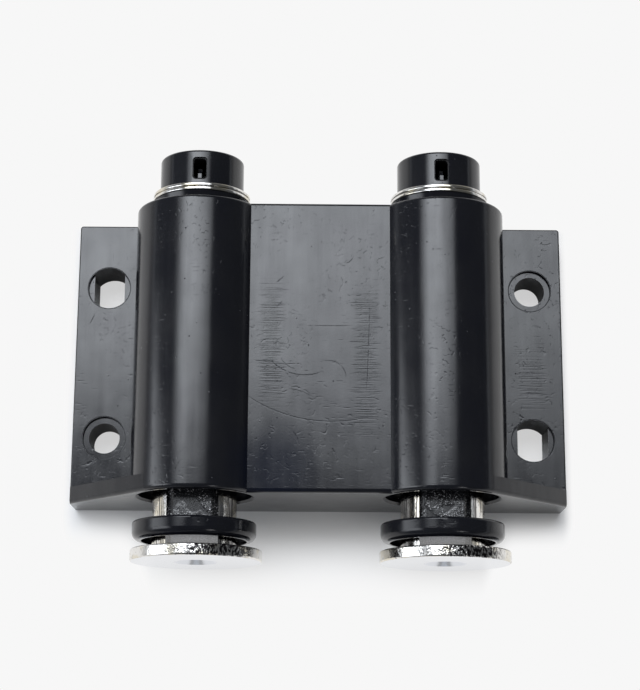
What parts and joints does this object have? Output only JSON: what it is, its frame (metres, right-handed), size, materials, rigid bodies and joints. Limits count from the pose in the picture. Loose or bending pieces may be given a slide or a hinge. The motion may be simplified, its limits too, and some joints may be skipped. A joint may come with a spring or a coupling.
{
  "type": "double magnetic pressure catch",
  "caption": "Black moulded cabinet catch with a pair of spring-loaded magnetic plungers, bumper collars and round steel strike plates; screws down through slotted side pads.",
  "frame": {"origin": "centre of the housing's flat mounting face", "axes": "+Z away from the mounting face, -Y towards the door and strike plates, +X to the right seen from behind the plungers"},
  "size_m": [0.066, 0.0541, 0.0205],
  "materials": {
    "housing_plastic": "satin black moulding",
    "plunger_plastic": "satin black moulding",
    "collar_plastic": "glossy black moulding",
    "plated_steel": "bright nickel plate",
    "bright_steel": "drawn",
    "spring_steel": "bright wire",
    "ferrite": "ground sintered ferrite"
  },
  "bodies": {
    "housing": {"housing": "housing_plastic", "left_return_spring": "spring_steel", "right_return_spring": "spring_steel"},
    "left_plunger": {"left_plunger_sleeve": "plunger_plastic", "left_magnet_holder": "plunger_plastic", "left_inner_pole_plate": "plated_steel", "left_outer_pole_plate": "plated_steel", "left_magnet": "ferrite", "left_plate_pin": "bright_steel", "left_collar": "collar_plastic", "left_strike_plate": "plated_steel", "left_retaining_ring": "spring_steel"},
    "right_plunger": {"right_plunger_sleeve": "plunger_plastic", "right_magnet_holder": "plunger_plastic", "right_inner_pole_plate": "plated_steel", "right_outer_pole_plate": "plated_steel", "right_magnet": "ferrite", "right_plate_pin": "bright_steel", "right_collar": "collar_plastic", "right_strike_plate": "plated_steel", "right_retaining_ring": "spring_steel"}
  },
  "joints": [
    {"name": "left plunger press", "type": "slide", "parent": "housing", "child": "left_plunger", "axis": [0, 1, 0], "range_m": [0, 0.0032], "stiffness_N_per_m": 335, "springref_m": -0.015, "deforming": ["left_return_spring"]},
    {"name": "right plunger press", "type": "slide", "parent": "housing", "child": "right_plunger", "axis": [0, 1, 0], "range_m": [0, 0.0032], "stiffness_N_per_m": 335, "springref_m": -0.015, "deforming": ["right_return_spring"]}
  ]
}
